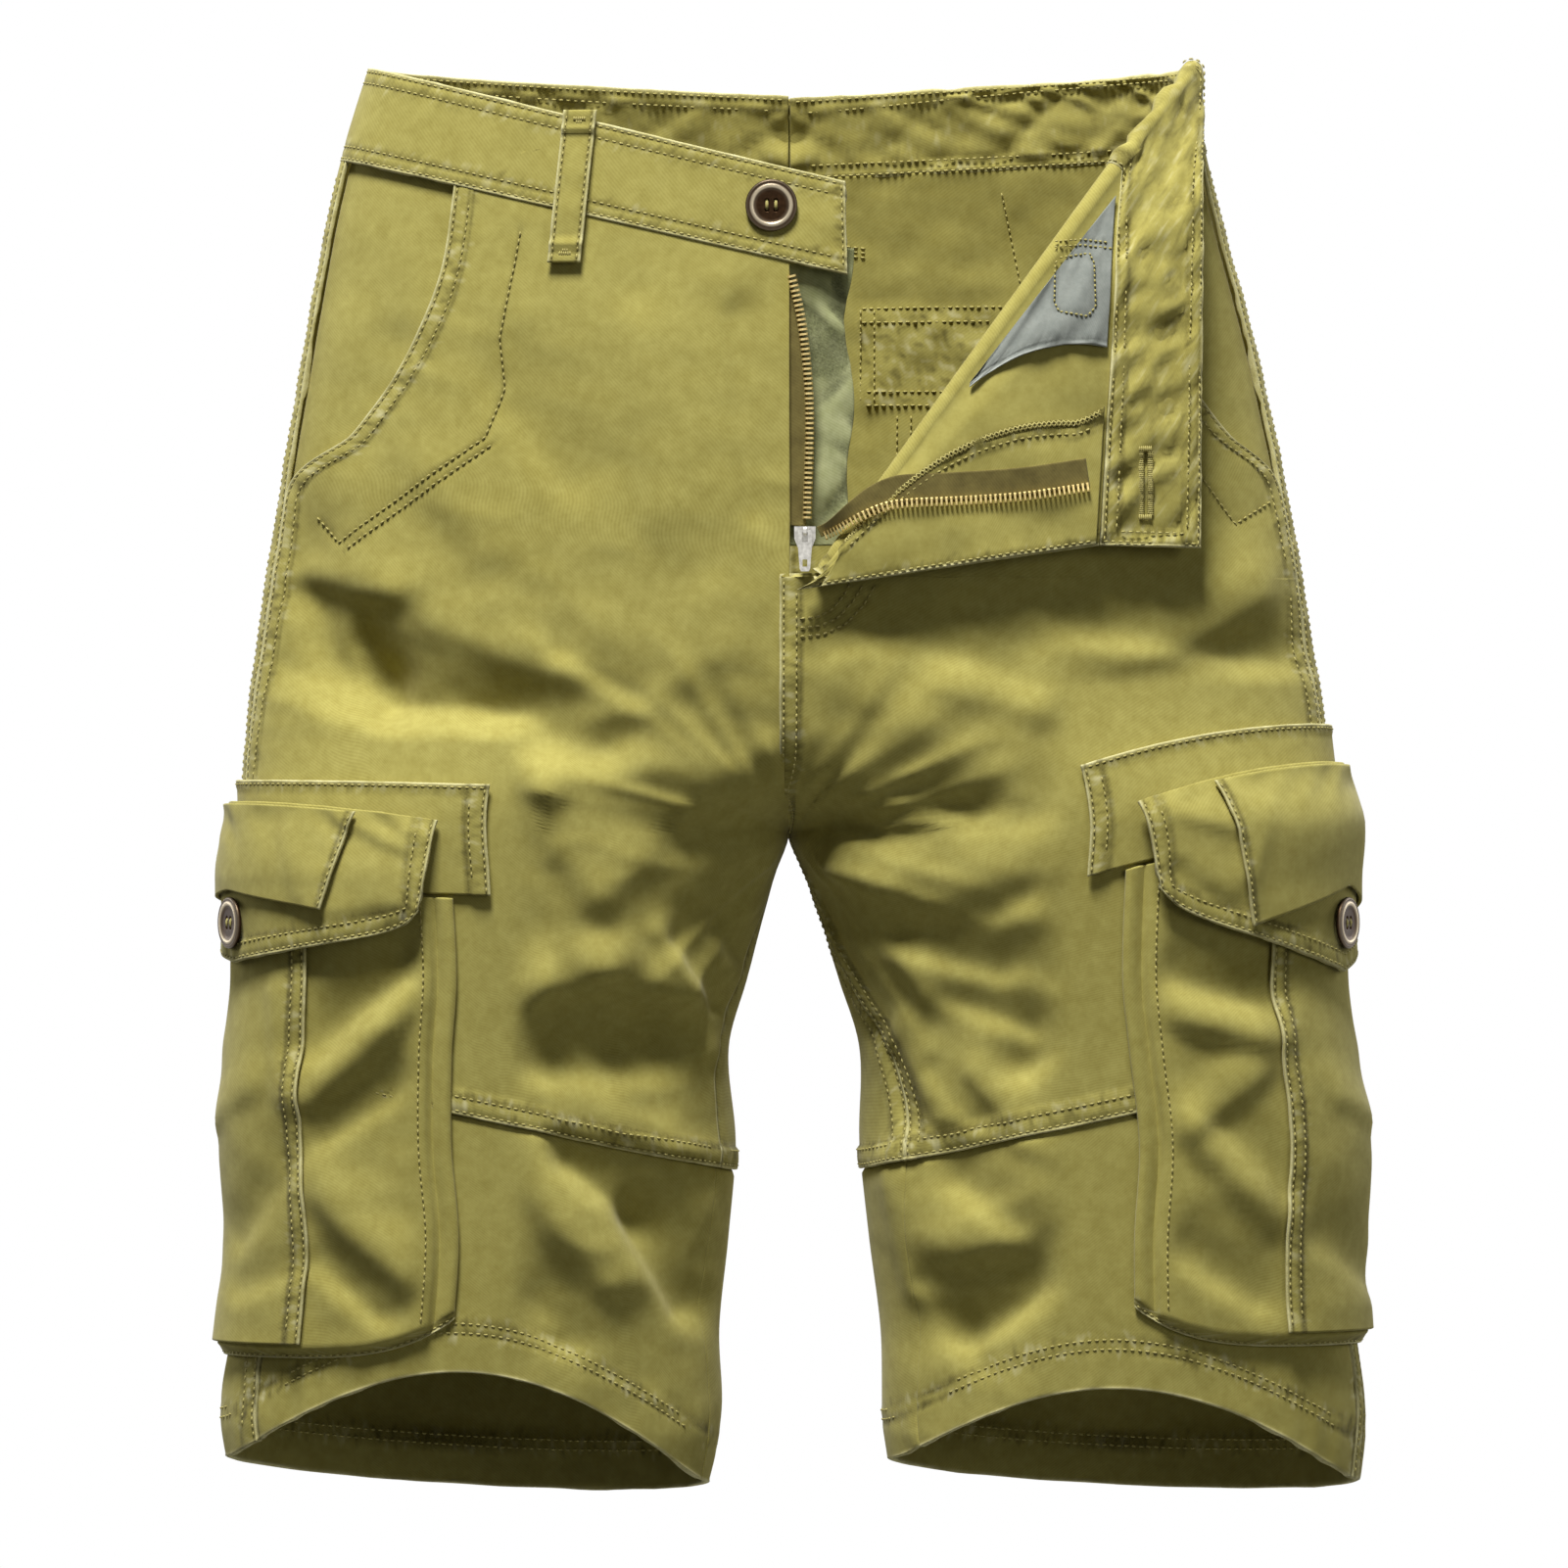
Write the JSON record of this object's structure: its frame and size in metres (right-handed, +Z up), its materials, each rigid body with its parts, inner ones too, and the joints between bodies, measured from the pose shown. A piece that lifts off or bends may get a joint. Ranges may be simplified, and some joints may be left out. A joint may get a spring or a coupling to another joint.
{
  "type": "cargo shorts",
  "caption": "Men's knee-length cargo shorts in cotton twill, filled out, with flapped pockets on the thighs, the zip fly open and the left front folded back.",
  "frame": {"origin": "centre of the waist opening, level with the top edge of the waistband at the sides", "axes": "+X to the wearer's left, -Y out of the front, +Z up"},
  "size_m": [0.4979, 0.1712, 0.6149],
  "materials": {
    "twill": "garment-washed olive khaki cotton twill, matt",
    "pocketing": "thin grey cotton pocketing, plain weave",
    "shield_cloth": "pale sage cotton sateen, slightly sheeny",
    "zip_tape": "brown olive herringbone tape",
    "nickel": "nickel-plated zinc, satin",
    "antique_brass": "dark antiqued brass"
  },
  "bodies": {
    "garment": {"front_right": "twill", "front_left": "twill", "back_right": "twill", "front_knee_right": "twill", "back_knee_right": "twill", "back_left": "twill", "front_knee_left": "twill", "back_knee_left": "twill", "waistband_right": "twill", "waistband_left": "twill", "pocket_facing_right": "twill", "pocket_facing_left": "twill", "fly_facing": "twill", "belt_loop_front_right": "twill", "belt_loop_back_right": "twill", "belt_loop_back_left": "twill", "belt_loop_back_middle": "twill", "belt_loop_front_left": "twill", "cargo_patch_right": "twill", "cargo_pocket_right": "twill", "cargo_strip_right": "twill", "cargo_flap_right": "twill", "cargo_tab_right": "twill", "cargo_patch_left": "twill", "cargo_pocket_left": "twill", "cargo_strip_left": "twill", "cargo_flap_left": "twill", "cargo_tab_left": "twill", "back_patch_right": "twill", "back_pocket_right": "twill", "back_flap_right": "twill", "back_patch_left": "twill", "back_pocket_left": "twill", "back_flap_left": "twill", "pocket_bag_right": "pocketing", "pocket_bag_left": "pocketing", "fly_shield": "shield_cloth", "zip_tape_left": "zip_tape", "zip_tape_right": "zip_tape", "zip_slider": "nickel", "button_waist": "antique_brass", "cargo_button_right": "antique_brass", "cargo_button_left": "antique_brass", "back_button_right": "antique_brass", "back_button_left": "antique_brass"},
    "zip_pull": {"zip_pull": "nickel"}
  },
  "joints": [
    {"name": "pull_swing", "type": "hinge", "parent": "garment", "child": "zip_pull", "pos_m": [0.00653, -0.07643, -0.2], "axis": [-1, 0, 0], "range_deg": [0, 120]}
  ]
}
